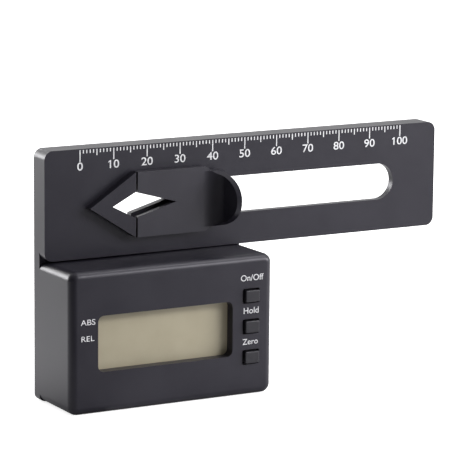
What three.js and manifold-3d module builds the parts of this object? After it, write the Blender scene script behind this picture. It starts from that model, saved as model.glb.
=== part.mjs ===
// Digital pitch gauge: a ruled arm with a spring-loaded blade clamp, over a deep display case.
// Millimetres. +X runs along the arm, +Y to the back and +Z up.
// The origin lies under the middle of the gauge, in the plane that the case stands on.

import * as THREE from 'three';
import { mergeVertices } from 'three/addons/utils/BufferGeometryUtils.js';
import Module from 'manifold-3d';

const wasm = await Module();
wasm.setup();

// Arm
const armLength = 122.1;
const armHeight = 29.7;
const armThickness = 6.6;
const armCornerRadius = 2.4;
const armPlateThickness = 2.2;
const armRimWidth = 1.8;
const armPocketRadius = 1.4;
const slotHeight = 10.2;
const slotRightInset = 13.75;
const guideRailWidth = 1;
const guideRailHeight = 1.2;
const guideRailClearance = 0.35;

// Rear cover, which is one moulding with the arm
const rearCoverThickness = 3.3;
const rearCoverCornerRadius = 1.7;
const locatingRibHeight = 2;
const locatingRibThickness = 1;
const locatingRibClearance = 0.2;

// Display case
const caseTopGap = 0.1;
const caseCornerRadius = 2.5;
const caseEdgeRadius = 2.1;
const caseWall = 1.8;
const windowLeftInset = 8.06;
const windowRightInset = 12.34;
const windowDrop = 12.15;
const windowLift = 11.3;
const windowCornerRadius = 1.7;
const windowDepth = 3;
const windowCollarWall = 1.2;

// Screws and their bosses
const caseBossRadius = 2.3;
const caseBossSink = 0.6;
const caseScrewHeadRadius = 1.85;
const caseScrewHeadHeight = 1.4;
const caseScrewRadius = 0.85;
const caseScrewLength = 8;
const counterboreDepth = 1.7;
const boardScrewInsetX = 18.4;
const boardPostRadius = 1.9;
const boardScrewHeadRadius = 1.6;
const boardScrewHeadHeight = 1.1;
const boardScrewRadius = 0.65;
const boardScrewLength = 4;
const screwClearance = 0.15;
const screwHoleSpareDepth = 0.6;
const screwHeadEdgeShare = 0.5;
const screwDomeRadiusShare = 0.7;
const screwDomeHeightShare = 0.9;
const screwPointShare = 0.4;

// Blade clamp
const jawTipInset = 12.17;
const jawTopDrop = 6.975;
const jawBottomLift = 4.975;
const jawProud = 2.6;
const fixedJawLength = 13.65;
const fixedNotchLength = 6.95;
const fixedNotchHeight = 7.15;
const jawGap = 0.5;
const slidingNotchLength = 11.7;
const slidingNotchHeight = 6.6;
const slidingFrontWall = 1.2;
const slidingCavityReach = 2;
const slidingCavityHeight = 8.8;
const slidingFaceLength = 19.9;
const slidingBlockTail = 2.5;
const slidingBlockCornerRadius = 2.6;
const tabBendRadius = 5;
const tabStraightLength = 4.95;
const tabLeanAngle = THREE.MathUtils.degToRad(75);
const tabThickness = 1.2;
const tabSideInset = 1.2;
const tabOutlinePower = 2.2;
const tabRootHeight = 1.4;
const tongueEndInset = 0.3;
const tongueClearance = 0.2;
const runningClearance = 0.25;
const backPlateInset = 0.5;
const backPlateOverhang = 1.7;
const backPlateSideInset = 0.275;
const backPlateThickness = 2.2;
const backPlateCornerRadius = 1.2;
const sliderScrewInset = 5.6;
const sliderScrewSpacing = 5.4;
const sliderScrewHeadRadius = 1.8;
const sliderScrewHeadHeight = 1.2;
const sliderScrewRadius = 0.8;
const sliderScrewLength = 5.6;

// Clamp spring, an extension spring with a hook at each end
const springWire = 0.45;
const springOuterDiameter = 3.6;
const springPitch = 0.92;
const springDrop = 4.2;
const springAnchorInset = 4.6;
const springPostRadius = 1;
const springPostHeight = 3.4;
const springHookNeck = 2.6;
const springHookTail = 0.45;
const springHookMouthAngle = THREE.MathUtils.degToRad(-45);
const springHookTurn = THREE.MathUtils.degToRad(225);
const springEarWidth = 4.4;
const springEarThickness = 1;
const springEarRise = 0.3;
const springEarRootHeight = 4;
const springStepsPerCurl = 8;
const springSides = 5;

// Liquid crystal display
const lcdMargin = 1.5;
const lcdThickness = 2;
const lcdFrameWall = 1;
const lcdFrameClearance = 0.15;
const connectorHeight = 0.9;
const connectorWidth = 1.6;
const connectorInset = 0.9;
const connectorEndInset = 1.6;

// Circuit board
const boardThickness = 1;
const boardRearRoom = 1.25;
const boardEdgeGap = 0.5;
const boardNotch = 4.9;
const controllerSize = 9;
const controllerThickness = 1;
const controllerInset = 12;
const tiltSensorSize = 5;
const tiltSensorThickness = 1.1;
const tiltSensorInset = 18;

// Buttons and the switches under them
const buttonNames = ['on_off', 'hold', 'zero'];
const buttonInset = 6.7;
const buttonFirstDrop = 11.05;
const buttonLastLift = 10.65;
const buttonHoleWidth = 5.1;
const buttonHoleHeight = 4.1;
const buttonHoleRadius = 0.4;
const buttonClearance = 0.42;
const buttonProud = 1;
const buttonEdgeRadius = 0.3;
const buttonFlange = 0.3;
const buttonFlangeThickness = 0.8;
const buttonFlangeGap = 0.3;
const switchSize = 4.5;
const switchBodyHeight = 2;
const switchStemRadius = 1.1;
const switchStemGap = 0.2;
const switchStemDepth = 0.7;
const switchBoreRadius = 1.25;
const switchBoreDepth = 1.3;

// Cells, their tub and their contacts
const cellDiameter = 10.5;
const cellLength = 44.5;
const cellNubRadius = 1.9;
const cellNubHeight = 0.8;
const cellEdgeRadius = 0.5;
const cellGap = 0.3;
const cellClearance = 0.35;
const cellEndRoom = 2.5;
const cellFloorGap = 0.2;
const tubWall = 1.2;
const tubEndRoom = 2.65;
const tubBossRoom = 0.7;
const contactThickness = 0.4;
const contactWidth = 8;
const contactFingerReach = 1.7;
const contactFingerWidth = 4;
const contactTabWidth = 3;
const contactSlitClearance = 0.2;

// Battery door, which slides out to the right
const doorThickness = 1.6;
const doorLipHeight = 0.8;
const doorLipWidth = 1;
const doorOverlap = 1.1;
const doorClearance = 0.15;
const doorGripCount = 6;
const doorGripPitch = 1.6;
const doorGripWidth = 0.8;
const doorGripDepth = 0.4;
const doorGripLength = 12;
const doorGripInset = 3;

// Seats and cuts
const seatGap = 0.1;
const cutOverrun = 1;

// Facets of the round forms
const cornerFacets = 6;
const edgeFacets = 4;
const slotFacets = 16;
const holeFacets = 20;
const screwFacets = 16;
const cellFacets = 28;
const bendFacets = 8;
const tabOutlineFacets = 24;

// Sizes of the case, which follow from the cells and from what is stacked in front of them
const tubSideRoom = caseBossRadius * 2 + tubBossRoom;
const caseWidth = cellLength + (cellEndRoom + tubWall + tubEndRoom + caseWall) * 2;
const cellPairHeight = cellDiameter * 2 + cellGap;
const caseHeight = cellPairHeight + (cellClearance + tubWall + tubSideRoom + caseWall) * 2;
const displayStackDepth = windowDepth + lcdThickness + connectorHeight + seatGap * 2;
const boardStackDepth = boardThickness + boardRearRoom;
const cellStackDepth = tubWall + cellFloorGap + cellDiameter + cellClearance + doorThickness;
const caseDepth = displayStackDepth + boardStackDepth + cellStackDepth - armThickness;
const gaugeHeight = caseHeight + caseTopGap + armHeight;
const caseScrewInset = caseWall + caseBossRadius - caseBossSink;

// Sizes of the clamp, which follow from the arm and from the length of the sliding face
const jawHeight = armHeight - jawTopDrop - jawBottomLift;
const slidingBlockLength = slidingFaceLength + slidingBlockTail;
const tongueLength = slidingBlockLength - tongueEndInset;
const backPlateLength = slidingBlockLength + backPlateOverhang - backPlateInset;
const backPlateHeight = jawHeight - backPlateSideInset * 2;
const tabHeight = jawHeight - tabSideInset * 2;

// Main planes
const left = -armLength / 2;
const right = armLength / 2;
const backY = (armThickness + caseDepth + buttonProud) / 2;
const armFrontY = backY - armThickness;
const plateBackY = armFrontY + armPlateThickness;
const seamY = backY - rearCoverThickness;
const caseFrontY = armFrontY - caseDepth;
const armTopZ = gaugeHeight;
const armBottomZ = armTopZ - armHeight;
const caseTopZ = armBottomZ - caseTopGap;
const caseRight = left + caseWidth;
const caseInnerY = caseFrontY + caseWall;

// Clamp places
const jawZ = armTopZ - jawTopDrop - jawHeight / 2;
const jawFrontY = armFrontY - jawProud;
const jawTipX = left + jawTipInset;
const fixedJawRight = jawTipX + fixedJawLength;
const sliderLeft = fixedJawRight + jawGap;
const sliderRearY = armFrontY - runningClearance;
const backPlateFrontY = plateBackY + runningClearance;
const backPlateRearY = backPlateFrontY + backPlateThickness;
const springZ = armTopZ - springDrop;
const springY = (plateBackY + backY) / 2;
const springAnchorX = left + springAnchorInset;
const springEarX = sliderLeft + backPlateInset + backPlateLength - springEarWidth / 2;

// Window, display and board places
const windowLeft = left + windowLeftInset;
const windowRight = caseRight - windowRightInset;
const windowTop = caseTopZ - windowDrop;
const windowBottom = windowLift;
const lcdFrontY = caseFrontY + windowDepth + seatGap;
const lcdBackY = lcdFrontY + lcdThickness;
const lcdLeft = windowLeft - lcdMargin;
const lcdRight = windowRight + lcdMargin;
const lcdTop = windowTop + lcdMargin;
const lcdBottom = windowBottom - lcdMargin;
const lcdFrameMargin = lcdFrameClearance + lcdFrameWall;
const boardFrontY = lcdBackY + connectorHeight + seatGap;
const boardBackY = boardFrontY + boardThickness;

// Tub, cell and door places
const tubX = left + caseWidth / 2;
const tubZ = caseTopZ / 2;
const doorInnerY = backY - doorThickness;
const cellY = doorInnerY - cellClearance - cellDiameter / 2;
const tubFloorY = cellY - cellDiameter / 2 - cellFloorGap;
const tubHalfLength = cellLength / 2 + cellEndRoom;
const tubHalfHeight = cellDiameter + cellGap / 2 + cellClearance;
const doorHalfHeight = tubHalfHeight + doorOverlap;
const doorLeft = tubX - tubHalfLength - doorOverlap;

// Shapes and solids
function solidOf(geometry) {
  geometry.deleteAttribute('normal');
  geometry.deleteAttribute('uv');
  const welded = mergeVertices(geometry);
  return new wasm.Manifold(new wasm.Mesh({
    numProp: 3,
    vertProperties: new Float32Array(welded.attributes.position.array),
    triVerts: new Uint32Array(welded.index.array),
  }));
}

function joined(...solids) {
  return solids.reduce((whole, solid) => whole.add(solid));
}

function cutBy(solid, ...tools) {
  return tools.reduce((rest, tool) => rest.subtract(tool), solid);
}

function roundedRectangle(x0, x1, y0, y1, radius) {
  const shape = new THREE.Shape();
  shape.absarc(x1 - radius, y1 - radius, radius, 0, Math.PI / 2);
  shape.absarc(x0 + radius, y1 - radius, radius, Math.PI / 2, Math.PI);
  shape.absarc(x0 + radius, y0 + radius, radius, Math.PI, Math.PI * 1.5);
  shape.absarc(x1 - radius, y0 + radius, radius, Math.PI * 1.5, Math.PI * 2);
  shape.closePath();
  return shape;
}

function polygon(points) {
  return new THREE.Shape(points.map(([x, y]) => new THREE.Vector2(x, y)));
}

// A shape drawn in X and Z, extruded from y0 to y1.
function prismY(shape, y0, y1, facets = cornerFacets) {
  const geometry = new THREE.ExtrudeGeometry(shape, {
    depth: y1 - y0,
    bevelEnabled: false,
    curveSegments: facets,
  });
  geometry.rotateX(Math.PI / 2);
  geometry.translate(0, y1, 0);
  return solidOf(geometry);
}

// A shape drawn in X and Y, extruded from z0 to z1.
function prismZ(shape, z0, z1, facets = cornerFacets) {
  const geometry = new THREE.ExtrudeGeometry(shape, {
    depth: z1 - z0,
    bevelEnabled: false,
    curveSegments: facets,
  });
  geometry.translate(0, 0, z0);
  return solidOf(geometry);
}

// A shape drawn in Y and Z, extruded from x0 to x1.
function prismX(shape, x0, x1, facets = cornerFacets) {
  const geometry = new THREE.ExtrudeGeometry(shape, {
    depth: x1 - x0,
    bevelEnabled: false,
    curveSegments: facets,
  });
  const turn = new THREE.Matrix4().makeBasis(
    new THREE.Vector3(0, 1, 0),
    new THREE.Vector3(0, 0, 1),
    new THREE.Vector3(1, 0, 0),
  );
  geometry.applyMatrix4(turn);
  geometry.translate(x0, 0, 0);
  return solidOf(geometry);
}

// A prism along Y whose front edge is rounded all the way round.
function softFrontPrism(shape, y0, y1, radius) {
  const geometry = new THREE.ExtrudeGeometry(shape, {
    depth: y1 - y0,
    bevelThickness: radius,
    bevelSize: radius,
    bevelOffset: -radius,
    bevelSegments: edgeFacets,
    curveSegments: cornerFacets,
  });
  geometry.rotateX(Math.PI / 2);
  geometry.translate(0, y1 + radius, 0);
  const whole = solidOf(geometry);
  const bounds = whole.boundingBox();
  return cutBy(whole, block(
    bounds.min[0] - cutOverrun,
    bounds.max[0] + cutOverrun,
    y1,
    bounds.max[1] + cutOverrun,
    bounds.min[2] - cutOverrun,
    bounds.max[2] + cutOverrun,
  ));
}

function block(x0, x1, y0, y1, z0, z1) {
  const geometry = new THREE.BoxGeometry(x1 - x0, y1 - y0, z1 - z0);
  geometry.translate((x0 + x1) / 2, (y0 + y1) / 2, (z0 + z1) / 2);
  return solidOf(geometry);
}

function rodY(x, z, radius, y0, y1, facets = holeFacets) {
  const geometry = new THREE.CylinderGeometry(radius, radius, y1 - y0, facets);
  geometry.translate(x, (y0 + y1) / 2, z);
  return solidOf(geometry);
}

// A profile of [radius, y] points, turned about an axis along Y through x and z.
function turnedY(profile, x, z, facets) {
  const points = profile.map(([radius, y]) => new THREE.Vector2(radius, y));
  const geometry = new THREE.LatheGeometry(points, facets);
  geometry.translate(x, 0, z);
  return solidOf(geometry);
}

const model = new THREE.Group();

function material(color, roughness, metalness) {
  return new THREE.MeshStandardMaterial({ color, roughness, metalness });
}

function addPiece(name, solid, look) {
  const made = solid.getMesh();
  const geometry = new THREE.BufferGeometry();
  geometry.setAttribute('position', new THREE.BufferAttribute(made.vertProperties, made.numProp));
  geometry.setIndex(new THREE.BufferAttribute(made.triVerts, 1));
  geometry.computeVertexNormals();
  const mesh = new THREE.Mesh(geometry, look);
  mesh.name = name;
  model.add(mesh);
}

const blackPlastic = () => material(0x2b2a2e, 0.5, 0);
const buttonPlastic = () => material(0x232226, 0.55, 0);
const steel = () => material(0x8d8f92, 0.35, 1);
const springSteel = () => material(0xa7a9ac, 0.3, 1);

// Places of the four case screws, as [x, z].
const caseScrewPlaces = [left + caseScrewInset, caseRight - caseScrewInset].flatMap((x) => [
  [x, caseTopZ - caseScrewInset],
  [x, caseScrewInset],
]);

// Places of the four board screws, as [x, z], midway between the display's frame and the case wall.
const boardScrewPlaces = [left + boardScrewInsetX, caseRight - boardScrewInsetX].flatMap((x) => [
  [x, (lcdTop + lcdFrameMargin + caseTopZ - caseWall) / 2],
  [x, (lcdBottom - lcdFrameMargin + caseWall) / 2],
]);

const buttonX = caseRight - buttonInset;
const buttonFirstZ = caseTopZ - buttonFirstDrop;
const buttonPitch = (buttonFirstZ - buttonLastLift) / (buttonNames.length - 1);
const buttonZs = buttonNames.map((_, index) => buttonFirstZ - index * buttonPitch);

// Arm, fixed jaw and rear cover: one moulding.
function vNotch(apexX, mouthX, mouthHeight, y0, y1) {
  const beyond = mouthX + Math.sign(mouthX - apexX) * jawGap / 2;
  const slope = mouthHeight / 2 / (mouthX - apexX);
  const half = slope * (beyond - apexX);
  return prismY(polygon([[apexX, jawZ], [beyond, jawZ - half], [beyond, jawZ + half]]), y0, y1);
}

function slotTool() {
  const radius = slotHeight / 2;
  const centreX = right - slotRightInset - radius;
  const shape = new THREE.Shape();
  shape.moveTo(fixedJawRight, jawZ - radius);
  shape.lineTo(centreX, jawZ - radius);
  shape.absarc(centreX, jawZ, radius, -Math.PI / 2, Math.PI / 2);
  shape.lineTo(fixedJawRight, jawZ + radius);
  shape.closePath();
  return prismY(shape, armFrontY - cutOverrun, backY + cutOverrun, slotFacets);
}

function fixedJaw() {
  const half = jawHeight / 2;
  const outline = polygon([
    [jawTipX, jawZ],
    [fixedJawRight, jawZ - half],
    [fixedJawRight, jawZ + half],
  ]);
  return prismY(outline, jawFrontY, plateBackY);
}

function guideRails() {
  const inner = backPlateHeight / 2 + guideRailClearance;
  const x0 = left + armRimWidth;
  const x1 = right - armRimWidth;
  const y1 = plateBackY + guideRailHeight;
  return [1, -1].map((side) => {
    const near = jawZ + side * inner;
    const far = near + side * guideRailWidth;
    return block(x0, x1, armFrontY, y1, Math.min(near, far), Math.max(near, far));
  });
}

function armBar() {
  const outer = prismY(
    roundedRectangle(left, right, armBottomZ, armTopZ, armCornerRadius),
    armFrontY,
    backY,
  );
  const pocket = prismY(
    roundedRectangle(
      left + armRimWidth,
      right - armRimWidth,
      armBottomZ + armRimWidth,
      armTopZ - armRimWidth,
      armPocketRadius,
    ),
    plateBackY,
    backY + cutOverrun,
  );
  const anchor = rodY(
    springAnchorX,
    springZ,
    springPostRadius,
    armFrontY,
    plateBackY + springPostHeight,
    screwFacets,
  );
  return joined(cutBy(outer, pocket), ...guideRails(), anchor);
}

function locatingRibs() {
  const offset = caseWall + locatingRibClearance;
  const y0 = seamY - locatingRibHeight;
  const y1 = seamY + rearCoverThickness / 2;
  const clearOfBoss = caseScrewInset + caseBossRadius * 2;
  const x0 = left + clearOfBoss;
  const x1 = caseRight - clearOfBoss;
  const z0 = clearOfBoss;
  const z1 = caseTopZ - clearOfBoss;
  const thick = locatingRibThickness;
  return [
    block(x0, x1, y0, y1, offset, offset + thick),
    block(x0, x1, y0, y1, caseTopZ - offset - thick, caseTopZ - offset),
    block(left + offset, left + offset + thick, y0, y1, z0, z1),
    block(caseRight - offset - thick, caseRight - offset, y0, y1, z0, z1),
  ];
}

function rearCoverPlate() {
  const top = armBottomZ + armRimWidth;
  const shape = roundedRectangle(left, caseRight, 0, top, rearCoverCornerRadius);
  const squareTop = block(
    left,
    caseRight,
    seamY,
    backY,
    armBottomZ - rearCoverCornerRadius,
    top,
  );
  const cornerZ = armBottomZ + armCornerRadius;
  const squareCorner = block(left, left + armRimWidth, seamY, backY, armBottomZ, cornerZ);
  return joined(prismY(shape, seamY, backY), squareTop, squareCorner);
}

// A shelf under the arm that closes the slit over the case.
function caseShelf() {
  return block(
    left + armCornerRadius,
    caseRight,
    plateBackY,
    seamY + rearCoverThickness / 2,
    caseTopZ,
    armBottomZ + armRimWidth / 2,
  );
}

function batteryTub() {
  return block(
    tubX - tubHalfLength - tubWall,
    tubX + tubHalfLength + tubWall,
    tubFloorY - tubWall,
    seamY + rearCoverThickness / 2,
    tubZ - tubHalfHeight - tubWall,
    tubZ + tubHalfHeight + tubWall,
  );
}

function tubTool() {
  return block(
    tubX - tubHalfLength,
    tubX + tubHalfLength,
    tubFloorY,
    backY,
    tubZ - tubHalfHeight,
    tubZ + tubHalfHeight,
  );
}

// The grooves that the door slides in, open to the right.
function doorTool() {
  const inner = block(
    doorLeft - doorLipWidth - doorClearance,
    caseRight + cutOverrun,
    doorInnerY - doorClearance,
    doorInnerY + doorLipHeight + doorClearance,
    tubZ - doorHalfHeight - doorLipWidth - doorClearance,
    tubZ + doorHalfHeight + doorLipWidth + doorClearance,
  );
  const outer = block(
    doorLeft - doorClearance,
    caseRight + cutOverrun,
    doorInnerY,
    backY + cutOverrun,
    tubZ - doorHalfHeight - doorClearance,
    tubZ + doorHalfHeight + doorClearance,
  );
  return joined(inner, outer);
}

function contactSlit(side, z) {
  const outerX = tubX + side * tubHalfLength;
  const innerX = outerX - side * (contactThickness + seatGap + contactSlitClearance);
  const half = contactTabWidth / 2 + contactSlitClearance;
  return block(
    Math.min(outerX, innerX),
    Math.max(outerX, innerX),
    tubFloorY - tubWall - cutOverrun,
    tubFloorY + cutOverrun,
    z - half,
    z + half,
  );
}

const upperCellZ = tubZ + (cellDiameter + cellGap) / 2;
const lowerCellZ = tubZ - (cellDiameter + cellGap) / 2;

function armAndRearCover() {
  const through = [armFrontY - jawProud - cutOverrun, backY + cutOverrun];
  const notch = vNotch(fixedJawRight - fixedNotchLength, fixedJawRight, fixedNotchHeight, ...through);
  const screwTools = caseScrewPlaces.flatMap(([x, z]) => [
    rodY(x, z, caseScrewRadius + screwClearance * 2, seamY - cutOverrun, backY + cutOverrun),
    rodY(x, z, caseScrewHeadRadius + screwClearance, backY - counterboreDepth, backY + cutOverrun),
  ]);
  const cover = joined(rearCoverPlate(), caseShelf(), ...locatingRibs(), batteryTub());
  const whole = joined(armBar(), fixedJaw(), cover);
  return cutBy(
    whole,
    slotTool(),
    notch,
    tubTool(),
    doorTool(),
    contactSlit(-1, upperCellZ),
    contactSlit(-1, lowerCellZ),
    ...screwTools,
  );
}

// Display case.
function caseShell() {
  const outer = softFrontPrism(
    roundedRectangle(left, caseRight, 0, caseTopZ, caseCornerRadius),
    caseFrontY,
    seamY,
    caseEdgeRadius,
  );
  const inner = prismY(
    roundedRectangle(
      left + caseWall,
      caseRight - caseWall,
      caseWall,
      caseTopZ - caseWall,
      caseCornerRadius - caseWall,
    ),
    caseInnerY,
    seamY + cutOverrun,
  );
  return cutBy(outer, inner);
}

function windowPrism(margin, y0, y1) {
  return prismY(
    roundedRectangle(
      windowLeft - margin,
      windowRight + margin,
      windowBottom - margin,
      windowTop + margin,
      windowCornerRadius + margin,
    ),
    y0,
    y1,
  );
}

function buttonPrism(z, clearance, y0, y1) {
  const halfWidth = buttonHoleWidth / 2 - clearance;
  const halfHeight = buttonHoleHeight / 2 - clearance;
  return prismY(
    roundedRectangle(
      buttonX - halfWidth,
      buttonX + halfWidth,
      z - halfHeight,
      z + halfHeight,
      buttonHoleRadius,
    ),
    y0,
    y1,
    edgeFacets,
  );
}

function displayCase() {
  const wallMiddleY = (caseFrontY + caseInnerY) / 2;
  const bosses = caseScrewPlaces.map(([x, z]) => rodY(x, z, caseBossRadius, wallMiddleY, seamY));
  const posts = boardScrewPlaces.map(([x, z]) => (
    rodY(x, z, boardPostRadius, wallMiddleY, boardFrontY - seatGap)
  ));
  const bossHoleEnd = backY - counterboreDepth - caseScrewLength - screwHoleSpareDepth;
  const bossHoles = caseScrewPlaces.map(([x, z]) => (
    rodY(x, z, caseScrewRadius + screwClearance / 2, bossHoleEnd, seamY + cutOverrun, screwFacets)
  ));
  const postHoleEnd = boardBackY - boardScrewLength;
  const postHoles = boardScrewPlaces.map(([x, z]) => (
    rodY(x, z, boardScrewRadius + screwClearance / 2, postHoleEnd, boardBackY, screwFacets)
  ));
  const collar = windowPrism(windowCollarWall, wallMiddleY, caseFrontY + windowDepth);
  const opening = windowPrism(0, caseFrontY - cutOverrun, caseFrontY + windowDepth + cutOverrun);
  const holes = buttonZs.map((z) => buttonPrism(z, 0, caseFrontY - cutOverrun, caseInnerY + cutOverrun));
  const whole = joined(caseShell(), ...bosses, ...posts, collar);
  return cutBy(whole, opening, ...holes, ...bossHoles, ...postHoles);
}

// A screw with a domed head whose outer face looks to the back.
function screw(x, z, headSeatY, head, shaft) {
  const pointY = headSeatY - shaft.length;
  return turnedY([
    [0, pointY],
    [shaft.radius * screwPointShare, pointY],
    [shaft.radius, pointY + shaft.radius],
    [shaft.radius, headSeatY],
    [head.radius, headSeatY],
    [head.radius, headSeatY + head.height * screwHeadEdgeShare],
    [head.radius * screwDomeRadiusShare, headSeatY + head.height * screwDomeHeightShare],
    [0, headSeatY + head.height],
  ], x, z, screwFacets);
}

const caseScrewShaft = { radius: caseScrewRadius, length: caseScrewLength };
const caseScrewHead = { radius: caseScrewHeadRadius, height: caseScrewHeadHeight };
const boardScrewShaft = { radius: boardScrewRadius, length: boardScrewLength - seatGap };
const boardScrewHead = { radius: boardScrewHeadRadius, height: boardScrewHeadHeight };
const sliderScrewShaft = { radius: sliderScrewRadius, length: sliderScrewLength };
const sliderScrewHead = { radius: sliderScrewHeadRadius, height: sliderScrewHeadHeight };

// Sliding jaw: block, tongue and thumb tab.
const slidingNotchApexX = sliderLeft + slidingNotchLength;

function slidingNotch() {
  return vNotch(
    slidingNotchApexX,
    sliderLeft,
    slidingNotchHeight,
    jawFrontY - cutOverrun,
    backY + cutOverrun,
  );
}

// Behind the block's front wall the notch widens, up to the back plate.
function slidingCavity() {
  return vNotch(
    slidingNotchApexX + slidingCavityReach,
    sliderLeft,
    slidingCavityHeight,
    jawFrontY + slidingFrontWall,
    backPlateFrontY + cutOverrun,
  );
}

const tabBendStartX = sliderLeft + slidingFaceLength;
const tabBendEndX = tabBendStartX + tabBendRadius * Math.sin(tabLeanAngle);
const tabBendEndY = jawFrontY - tabBendRadius * (1 - Math.cos(tabLeanAngle));
const tabTipX = tabBendEndX + tabStraightLength * Math.cos(tabLeanAngle);
const tabTipY = tabBendEndY - tabStraightLength * Math.sin(tabLeanAngle);

// The tab's section: a concave front face that turns out of the block's face, and its back.
function tabSection() {
  const outX = tabThickness * Math.sin(tabLeanAngle);
  const outY = tabThickness * Math.cos(tabLeanAngle);
  const shape = new THREE.Shape();
  shape.moveTo(tabBendStartX, sliderRearY);
  shape.lineTo(tabBendStartX, jawFrontY);
  shape.absarc(
    tabBendStartX,
    jawFrontY - tabBendRadius,
    tabBendRadius,
    Math.PI / 2,
    Math.PI / 2 - tabLeanAngle,
    true,
  );
  shape.lineTo(tabTipX, tabTipY);
  shape.lineTo(tabTipX + tabThickness / Math.sin(tabLeanAngle), tabTipY);
  shape.lineTo(tabBendEndX + outX, tabBendEndY + outY);
  shape.lineTo(tabBendEndX + outX, sliderRearY - tabRootHeight);
  shape.lineTo(tabBendEndX, sliderRearY);
  shape.closePath();
  return shape;
}

// How far the tab's face has come out of the block's face, after a given way along it.
function tabRise(way) {
  const bendWay = tabBendRadius * tabLeanAngle;
  if (way < bendWay) {
    return tabBendRadius * (1 - Math.cos(way / tabBendRadius));
  }
  const bendRise = tabBendRadius * (1 - Math.cos(tabLeanAngle));
  return bendRise + (way - bendWay) * Math.sin(tabLeanAngle);
}

// The tab's outline from the side: highest at its root, and rounded towards its tip.
function tabOutline() {
  const length = tabBendRadius * tabLeanAngle + tabStraightLength;
  const half = tabHeight / 2;
  const points = [[sliderRearY, jawZ - half]];
  for (let step = 0; step <= tabOutlineFacets; step += 1) {
    const turn = -Math.PI / 2 + Math.PI * step / tabOutlineFacets;
    const across = Math.sign(turn) * Math.abs(Math.sin(turn)) ** (2 / tabOutlinePower);
    const along = Math.max(Math.cos(turn), 0) ** (2 / tabOutlinePower);
    points.push([jawFrontY - tabRise(length * along), jawZ + half * across]);
  }
  points.push([sliderRearY, jawZ + half]);
  return polygon(points);
}

function slidingJaw() {
  const half = jawHeight / 2;
  const blockRight = sliderLeft + slidingBlockLength;
  const radius = slidingBlockCornerRadius;
  const shape = new THREE.Shape();
  shape.moveTo(sliderLeft, jawZ - half);
  shape.lineTo(blockRight - radius, jawZ - half);
  shape.absarc(blockRight - radius, jawZ - half + radius, radius, -Math.PI / 2, 0);
  shape.absarc(blockRight - radius, jawZ + half - radius, radius, 0, Math.PI / 2);
  shape.lineTo(sliderLeft, jawZ + half);
  shape.closePath();
  const face = prismY(shape, jawFrontY, sliderRearY);
  const tongueHalf = slotHeight / 2 - tongueClearance;
  const tongueShape = new THREE.Shape();
  tongueShape.moveTo(sliderLeft, jawZ - tongueHalf);
  tongueShape.lineTo(sliderLeft + tongueLength - tongueHalf, jawZ - tongueHalf);
  tongueShape.absarc(sliderLeft + tongueLength - tongueHalf, jawZ, tongueHalf, -Math.PI / 2, Math.PI / 2);
  tongueShape.lineTo(sliderLeft, jawZ + tongueHalf);
  tongueShape.closePath();
  const tongueY0 = (jawFrontY + sliderRearY) / 2;
  const tongue = prismY(tongueShape, tongueY0, backPlateFrontY, cornerFacets);
  const section = prismZ(tabSection(), jawZ - half, jawZ + half, bendFacets);
  const tab = section.intersect(prismX(tabOutline(), tabBendStartX - cutOverrun, right));
  const screwHoles = sliderScrewPlaces.map(([x, z]) => (
    rodY(
      x,
      z,
      sliderScrewRadius + screwClearance / 2,
      backPlateRearY - sliderScrewLength - seatGap,
      backY,
      screwFacets,
    )
  ));
  return cutBy(joined(face, tongue, tab), slidingNotch(), slidingCavity(), ...screwHoles);
}

const sliderScrewX = sliderLeft + tongueLength - sliderScrewInset;
const sliderScrewPlaces = [
  [sliderScrewX, jawZ + sliderScrewSpacing / 2],
  [sliderScrewX, jawZ - sliderScrewSpacing / 2],
];

// Slider back plate, with an ear and a post for the spring.
function sliderBackPlate() {
  const x0 = sliderLeft + backPlateInset;
  const x1 = x0 + backPlateLength;
  const half = backPlateHeight / 2;
  const plate = prismY(
    roundedRectangle(x0, x1, jawZ - half, jawZ + half, backPlateCornerRadius),
    backPlateFrontY,
    backPlateRearY,
  );
  const earFrontY = backPlateRearY + springEarRise;
  const earRearY = earFrontY + springEarThickness;
  const earLeft = springEarX - springEarWidth / 2;
  const earRight = springEarX + springEarWidth / 2;
  const plateMiddleY = (backPlateFrontY + backPlateRearY) / 2;
  const rootBottom = jawZ + half - springEarRootHeight;
  const root = block(earLeft, earRight, plateMiddleY, earRearY, rootBottom, jawZ + half);
  const ear = block(earLeft, earRight, earFrontY, earRearY, rootBottom, springZ + springEarWidth / 2);
  const postY0 = springY - (backPlateFrontY - plateBackY) - springWire * 2;
  const post = rodY(springEarX, springZ, springPostRadius, postY0, (earFrontY + earRearY) / 2, screwFacets);
  const screwHoles = sliderScrewPlaces.map(([x, z]) => (
    rodY(x, z, sliderScrewRadius + screwClearance, backPlateFrontY - cutOverrun, backY, screwFacets)
  ));
  return cutBy(joined(plate, root, ear, post), slidingNotch(), ...screwHoles);
}

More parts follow.
